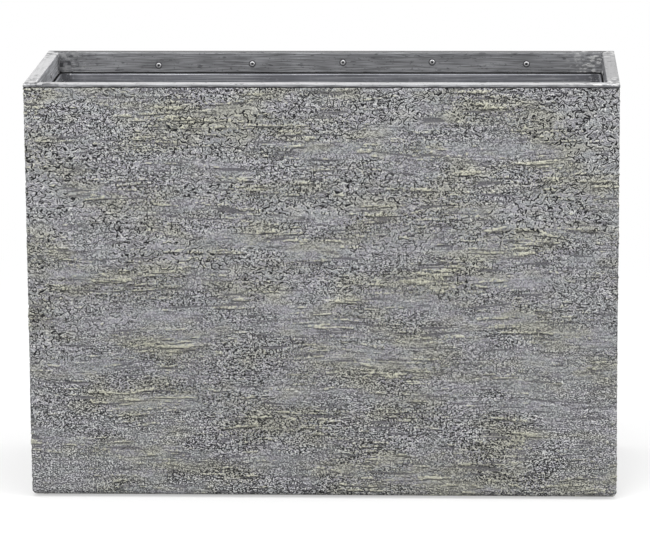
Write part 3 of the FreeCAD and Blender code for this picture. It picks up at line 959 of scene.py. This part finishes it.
def paint_node(node_name, material):
    """Gives a CAD node a finish of its own."""
    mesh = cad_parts[node_name].data
    mesh.materials.clear()
    mesh.materials.append(material)


# Painted light and shade on each length, as how much lighter than the plain paint it is: its top, its
# skirt's inner face; on the left skirt it also stands for rubbed paint
RIM_PAINTED_LIGHT = {"front": (1.05, 1.0), "right": (0.74, 1.5), "back": (0.3, 1.3), "left": (1.12, 2.5)}


class PLANTER_OT_rim(bpy.types.Operator):
    """Finish the four folded lengths of the rim and their corner patches"""

    bl_idname = "planter.rim"
    bl_label = "Rim"

    def execute(self, context):
        metal = context.scene.planter_metal
        lip_low = RIM_HIGH.z - context.scene.planter_stone.lip_drop
        for side, painted_light in RIM_PAINTED_LIGHT.items():
            along = 1 if side in ("left", "right") else 0
            places = row_places("rivets_" + side, along)
            rivets = [(float(place[along]), float(place[2])) for place in places]
            name = "rim_" + side
            paint_node(name, rim_material(name, metal, along == 1, painted_light, lip_low, rivets))
        patch = rim_material("rim_patch", metal, False, RIM_PAINTED_LIGHT["back"], lip_low, ())
        for corner in RIM_CORNERS:
            paint_node("corner_angle_" + corner, patch)
        return {"FINISHED"}


def rivet_material(metal):
    """Bare aluminium with painted shade in its hole and a painted shadow round its edge."""
    material, n, shader = new_material("rivet_aluminium")
    cloud = n.noise(object_place(n), even_lumps(0.004), 2.0)
    out = n.add("ShaderNodeAttribute", attribute_name=RADIUS_SHARE).outputs["Fac"]
    ground = n.times(tuple(metal.rivet_bright), n.slope(cloud, *NOISE_SPAN, 0.7, 1.15))
    # Painted shade in the hole and painted shadow round the edge, in the mandrels' dark
    painted_shade = n.math("MAXIMUM", n.ramp(out, 0.50, 0.44), n.ramp(out, 0.82, 0.93))
    ground = n.blend(n.product(painted_shade, 0.95), ground, tuple(metal.mandrel_dark))
    n.feed(shader.inputs["Base Color"], ground)
    shader.inputs["Metallic"].default_value = 0.6
    n.feed(shader.inputs["Roughness"], n.slope(cloud, *NOISE_SPAN, 0.5, 0.35))
    return material


def mandrel_material(metal):
    """Dark broken steel."""
    material, n, shader = new_material("mandrel_steel")
    rough = n.noise(object_place(n), even_lumps(0.0006), 2.0)
    ground = n.times(tuple(metal.mandrel_dark), n.slope(rough, *NOISE_SPAN, 0.5, 1.5))
    n.feed(shader.inputs["Base Color"], ground)
    shader.inputs["Metallic"].default_value = 0.5
    shader.inputs["Roughness"].default_value = 0.7
    bumped(n, shader, rough, 0.3 * MM)
    return material


# Two solids of a row stand further apart than this, and no solid is this wide
ROW_GAP = 20.0 * MM


def row_places(node_name, axis):
    """Middles of the separate solids of a row, found by the gaps between them along an axis."""
    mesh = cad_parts[node_name].data
    places = np.empty(len(mesh.vertices) * 3, np.float32)
    mesh.vertices.foreach_get("co", places)
    places = places.reshape(-1, 3)
    places = places[np.argsort(places[:, axis])]
    breaks = np.flatnonzero(np.diff(places[:, axis]) > ROW_GAP) + 1
    return [0.5 * (group.min(0) + group.max(0)) for group in np.split(places, breaks)]


def rivet_points(name):
    """A mesh of one point for each rivet, on the inner face of the rim's skirt, with its facing."""
    skirts = {
        "front": (0, 1, RIM_HIGH.y, 1.0),
        "back": (0, 1, BACK_RIM_LOW.y, -1.0),
        "left": (1, 0, LEFT_RIM_HIGH.x, 1.0),
        "right": (1, 0, -LEFT_RIM_HIGH.x, -1.0),
    }
    places, facings = [], []
    for side, (along, across, face, way) in skirts.items():
        for place in row_places("rivets_" + side, along):
            place[across] = face
            facing = np.zeros(3)
            facing[across] = way
            places.append(place)
            facings.append(facing)
    mesh = bpy.data.meshes.new(name)
    mesh.from_pydata([tuple(map(float, p)) for p in places], [], [])
    facing = mesh.attributes.new("facing", "FLOAT_VECTOR", "POINT")
    facing.data.foreach_set("vector", np.array(facings, np.float32).ravel())
    return mesh


def turned_profile(n, around, outline, radius, rise):
    """A mesh turned about Z from an outline of (share of radius, share of rise) points."""
    grid = n.add("GeometryNodeMeshGrid")
    grid.inputs["Size X"].default_value = 1.0
    grid.inputs["Size Y"].default_value = 1.0
    grid.inputs["Vertices X"].default_value = around + 1
    grid.inputs["Vertices Y"].default_value = len(outline)
    x, y, _ = n.parts(n.add("GeometryNodeInputPosition").outputs[0])
    turn = n.math("MULTIPLY", n.math("ADD", x, 0.5), 2 * math.pi)
    along = n.math("ADD", y, 0.5)
    out = rise_share = 0.0
    last = len(outline) - 1
    for i, (wide, high) in enumerate(outline):
        # Each row of the grid takes the point of the outline whose share along it is its own
        near = n.math("COMPARE", along, i / last, 0.4 / last)
        out = n.math("MULTIPLY_ADD", near, wide, out)
        rise_share = n.math("MULTIPLY_ADD", near, high, rise_share)
    out = n.math("MULTIPLY", out, radius)
    place = n.joined(
        n.math("MULTIPLY", out, n.math("COSINE", turn)),
        n.math("MULTIPLY", out, n.math("SINE", turn)),
        n.math("MULTIPLY", rise_share, rise),
    )
    kept = n.add("GeometryNodeStoreNamedAttribute", data_type="FLOAT", domain="POINT")
    kept.inputs["Name"].default_value = RADIUS_SHARE
    n.feed(kept.inputs["Geometry"], grid.outputs["Mesh"])
    n.feed(kept.inputs["Value"], n.math("DIVIDE", out, radius))
    moved = n.add("GeometryNodeSetPosition")
    n.feed(moved.inputs["Geometry"], kept.outputs["Geometry"])
    n.feed(moved.inputs["Position"], place)
    merged = n.add("GeometryNodeMergeByDistance")
    merged.inputs["Distance"].default_value = 0.001 * MM
    n.feed(merged.inputs["Geometry"], moved.outputs["Geometry"])
    return merged.outputs["Geometry"]


# Flat sides round a turned shape
ROW_FACETS = 28


def row_tree(name, outline, material):
    """Sets one turned shape on every point, facing the way that the point says."""
    tree, n, given = new_geometry_tree(name, {"Diameter": "NodeSocketFloat", "Rise": "NodeSocketFloat"})
    radius = n.math("MULTIPLY", given.outputs["Diameter"], 0.5)
    shape = turned_profile(n, ROW_FACETS, outline, radius, given.outputs["Rise"])
    turn = n.add("FunctionNodeAlignRotationToVector", axis="Z")
    n.feed(turn.inputs["Vector"], named_vector(n, "facing"))
    copies = n.add("GeometryNodeInstanceOnPoints")
    n.feed(copies.inputs["Points"], given.outputs["Geometry"])
    n.feed(copies.inputs["Instance"], shape)
    n.feed(copies.inputs["Rotation"], turn.outputs["Rotation"])
    end_geometry_tree(n, copies.outputs["Instances"], material)
    return tree


# Outlines from the middle out to the seat, as shares of the radius and of the rise
RIVET_OUTLINE = (
    (0.0, 0.08), (0.42, 0.08), (0.45, 0.85), (0.51, 1.0), (0.63, 1.0), (0.75, 0.86),
    (0.86, 0.60), (0.95, 0.34), (1.0, 0.18), (1.0, 0.0), (0.9, -0.1), (0.0, -0.1),
)
MANDREL_OUTLINE = (
    (0.0, 0.36), (0.35, 0.42), (0.75, 0.34), (0.95, 0.26), (1.0, 0.15), (1.0, -0.1), (0.0, -0.1),
)


class PLANTER_OT_rivets(bpy.types.Operator):
    """Set the blind rivets and their broken mandrels along the rim's skirts"""

    bl_idname = "planter.rivets"
    bl_label = "Rivets"

    def execute(self, context):
        metal = context.scene.planter_metal
        aluminium, steel = rivet_material(metal), mandrel_material(metal)
        rows = (
            ("blind_rivets", RIVET_OUTLINE, aluminium, metal.rivet_head, "rivets_", "rivet_metal"),
            ("rivet_mandrels", MANDREL_OUTLINE, steel, metal.mandrel, "rivet_stems_", "rivet_stem"),
        )
        for name, outline, material, diameter, nodes, slot in rows:
            piece = link_piece(name, rivet_points(name))
            tree = row_tree(name + "_row", outline, material)
            apply_tree(piece, tree, {"Diameter": diameter, "Rise": metal.rivet_rise})
            piece.data.set_sharp_from_angle(angle=math.radians(40))
            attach(piece, PLANTER)
            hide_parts(*(nodes + side for side in RIM_SIDES))
        return {"FINISHED"}


# Brush streaks of the liner: their length and thickness
LINER_STREAK = (0.11, 0.0016)
STAIN_LUMPS = (0.06, 0.06, 0.045)
SPECK_LUMPS = (0.006, 0.006, 0.004)
# The liner is darkened with painted shade and scuffed from this far before its end to this far before it
SHADE_AND_SCUFF_FROM, SHADE_AND_SCUFF_TO = 30.0 * MM, 6.0 * MM


def liner_material(metal, along_y):
    """Zinc-grey sheet with rubbed streaks, stains, and scuffs and painted shade near the corners."""
    material, n, shader = new_material("liner_end_sheet" if along_y else "liner_sheet")
    place = object_place(n)
    streak = n.noise(place, brushed_place(along_y, *LINER_STREAK), 2.0)
    stain = n.noise(place, STAIN_LUMPS, 3.0)
    speck = n.noise(n.shifted(place, x=2.0), SPECK_LUMPS, 2.0)
    along = 1 if along_y else 0
    off_middle = n.math("ABSOLUTE", n.parts(place)[along])
    near_end = n.ramp(off_middle, LINER_HIGH[along] - SHADE_AND_SCUFF_FROM, LINER_HIGH[along] - SHADE_AND_SCUFF_TO)
    ground = n.blend(n.ramp(streak, 0.52, 0.70), tuple(metal.liner_zinc), tuple(metal.liner_pale))
    ground = n.times(ground, n.slope(stain, *NOISE_SPAN, 0.75, 1.2))
    ground = n.times(ground, n.slope(streak, 0.3, 0.5, 0.7, 1.0))
    # Painted shade towards the ends
    ground = n.times(ground, n.between(near_end, 1.0, 0.62))
    spot = n.product(n.ramp(speck, 0.57, 0.64), n.between(near_end, 0.2, 0.8))
    ground = n.blend(spot, ground, tuple(metal.liner_pale))
    n.feed(shader.inputs["Base Color"], ground)
    shader.inputs["Metallic"].default_value = 0.45
    n.feed(shader.inputs["Roughness"], n.slope(stain, *NOISE_SPAN, 0.55, 0.36))
    bumped(n, shader, n.math("MULTIPLY", streak, 0.1))
    return material


class PLANTER_OT_liner(bpy.types.Operator):
    """Finish the lift-out liner"""

    bl_idname = "planter.liner"
    bl_label = "Liner"

    def execute(self, context):
        metal = context.scene.planter_metal
        paint_node("liner_wrap", liner_material(metal, False))
        ends = liner_material(metal, True)
        for side in ("left", "right"):
            paint_node("liner_end_" + side, ends)
        return {"FINISHED"}


def rubber_material(rubber):
    """Black rubber with moulded grain and dust."""
    material, n, shader = new_material("black_rubber")
    place = object_place(n)
    grain = n.noise(place, even_lumps(0.0012), 2.0)
    dust = n.ramp(n.noise(place, (0.02, 0.02, 0.01), 3.0), 0.45, 0.70)
    ground = n.blend(n.math("MULTIPLY", dust, 0.5), tuple(rubber.rubber), tuple(rubber.rubber_dust))
    n.feed(shader.inputs["Base Color"], ground)
    n.feed(shader.inputs["Roughness"], n.slope(dust, 0.0, 1.0, 0.6, 0.85))
    bumped(n, shader, grain, 0.3 * MM)
    return material


class PLANTER_OT_rubber(bpy.types.Operator):
    """Finish the liner's pads and the feet"""

    bl_idname = "planter.rubber"
    bl_label = "Pads and Feet"

    def execute(self, context):
        black = rubber_material(context.scene.planter_rubber)
        for node_name in ("liner_pads", "feet"):
            paint_node(node_name, black)
        return {"FINISHED"}


# Colour of the floor under the planter's shadow, and how far out the shadow fades away
FLOOR_WHITE = (0.9, 0.9, 0.9)
SHADOW_FADE = (0.7, 1.6)


def floor_material(stage):
    """White to the camera and in reflections, with half of it taking the planter's shadow.
    It is grey to other light."""
    material = bpy.data.materials.new("studio_floor")
    material.use_nodes = True
    tree = material.node_tree
    tree.nodes.clear()
    n = NodeSketch(tree)
    path = n.add("ShaderNodeLightPath")
    seen = n.math("MAXIMUM", path.outputs["Is Camera Ray"], path.outputs["Is Glossy Ray"])
    seen = n.math("MAXIMUM", seen, path.outputs["Is Transmission Ray"])
    matt = n.add("ShaderNodeBsdfDiffuse")
    n.feed(matt.inputs["Color"], n.blend(seen, (stage.floor_grey,) * 3, FLOOR_WHITE))
    white = n.add("ShaderNodeEmission")
    white.inputs["Color"].default_value = (1.0, 1.0, 1.0, 1.0)
    white.inputs["Strength"].default_value = 1.0
    mixed = n.add("ShaderNodeMixShader")
    away = n.add("ShaderNodeVectorMath", operation="LENGTH")
    n.feed(away.inputs[0], object_place(n))
    n.feed(mixed.inputs[0], n.product(seen, n.ramp(away.outputs["Value"], *SHADOW_FADE, 0.5, 1.0)))
    n.feed(mixed.inputs[1], matt.outputs[0])
    n.feed(mixed.inputs[2], white.outputs[0])
    output = n.add("ShaderNodeOutputMaterial")
    n.feed(output.inputs["Surface"], mixed.outputs[0])
    return material


def surround(stage):
    """Soft even light from all round, white to the camera."""
    world = bpy.data.worlds.new("studio")
    bpy.context.scene.world = world
    world.use_nodes = True
    tree = world.node_tree
    tree.nodes.clear()
    n = NodeSketch(tree)
    path = n.add("ShaderNodeLightPath")
    seen = n.math("MAXIMUM", path.outputs["Is Camera Ray"], path.outputs["Is Transmission Ray"])
    light = n.add("ShaderNodeBackground")
    n.feed(light.inputs["Strength"], n.between(seen, stage.sky, 1.0))
    output = n.add("ShaderNodeOutputWorld")
    n.feed(output.inputs["Surface"], light.outputs[0])
    light.inputs["Color"].default_value = (1.0, 1.0, 1.0, 1.0)


def softbox(name, place, aim, wide, high, power):
    """A large area lamp that faces a point."""
    lamp = bpy.data.lights.new(name, "AREA")
    lamp.shape = "RECTANGLE"
    lamp.size, lamp.size_y, lamp.energy = wide, high, power
    holder = bpy.data.objects.new(name, lamp)
    holder.location = place
    holder.rotation_euler = (Vector(aim) - Vector(place)).to_track_quat("-Z", "Y").to_euler()
    holder.visible_camera = False
    bpy.context.scene.collection.objects.link(holder)


def place_camera(stage):
    """The camera at the photograph's viewing angle."""
    data = bpy.data.cameras.new("camera")
    data.sensor_fit = "HORIZONTAL"
    data.sensor_width = 36.0
    data.lens = stage.lens
    camera = bpy.data.objects.new("camera", data)
    turn = Matrix.Rotation(stage.camera_turn, 4, "Z")
    tilt = Matrix.Rotation(0.5 * math.pi - stage.camera_tilt, 4, "X")
    roll = Matrix.Rotation(-stage.camera_roll, 4, "Z")
    camera.matrix_world = Matrix.Translation(stage.camera_place) @ turn @ tilt @ roll
    bpy.context.scene.collection.objects.link(camera)
    bpy.context.scene.camera = camera


class PLANTER_OT_stage(bpy.types.Operator):
    """Set up the floor, the lamps and the camera"""

    bl_idname = "planter.stage"
    bl_label = "Stage"

    def execute(self, context):
        stage = context.scene.planter_stage
        half = 0.5 * stage.floor_side
        mesh = bpy.data.meshes.new("floor")
        corners = [(-half, -half, 0), (half, -half, 0), (half, half, 0), (-half, half, 0)]
        mesh.from_pydata(corners, [], [(0, 1, 2, 3)])
        mesh.materials.append(floor_material(stage))
        link_piece("floor", mesh)
        surround(stage)
        middle = (0.0, 0.0, 0.5 * SHELL_HIGH.z)
        softbox("top_softbox", (0.0, -0.3, 3.0), middle, 3.0, 2.4, stage.top_lamp)
        softbox("key_softbox", (-1.2, -3.4, 2.6), middle, 2.2, 2.2, stage.key_lamp)
        softbox("side_softbox", (3.0, -0.9, 1.9), middle, 2.0, 2.0, stage.side_lamp)
        place_camera(stage)
        context.scene.view_settings.view_transform = "Standard"
        return {"FINISHED"}


class PLANTER_PT_build(bpy.types.Panel):
    """Lists the planter's building steps"""

    bl_idname = "PLANTER_PT_build"
    bl_label = "Planter"
    bl_space_type = "VIEW_3D"
    bl_region_type = "UI"
    bl_category = "Planter"

    def draw(self, context):
        for operator in OPERATORS:
            self.layout.operator(operator.bl_idname)
        for name in SETTINGS:
            group = getattr(context.scene, name)
            for prop in group.bl_rna.properties:
                if prop.identifier not in ("rna_type", "name"):
                    self.layout.prop(group, prop.identifier)


SETTINGS = {
    "planter_stone": StoneSettings,
    "planter_metal": MetalSettings,
    "planter_rubber": RubberSettings,
    "planter_stage": StageSettings,
}
OPERATORS = (
    PLANTER_OT_stone_skin,
    PLANTER_OT_stone_core,
    PLANTER_OT_rim,
    PLANTER_OT_rivets,
    PLANTER_OT_liner,
    PLANTER_OT_rubber,
    PLANTER_OT_stage,
)
CLASSES = (*SETTINGS.values(), *OPERATORS, PLANTER_PT_build)


def register():
    for each in CLASSES:
        bpy.utils.register_class(each)
    for name, group in SETTINGS.items():
        setattr(bpy.types.Scene, name, bpy.props.PointerProperty(type=group))


def unregister():
    for name in SETTINGS:
        delattr(bpy.types.Scene, name)
    for each in reversed(CLASSES):
        bpy.utils.unregister_class(each)


def main():
    register()
    for operator in OPERATORS:
        family, step = operator.bl_idname.split(".")
        getattr(getattr(bpy.ops, family), step)()


if __name__ == "__main__":
    main()
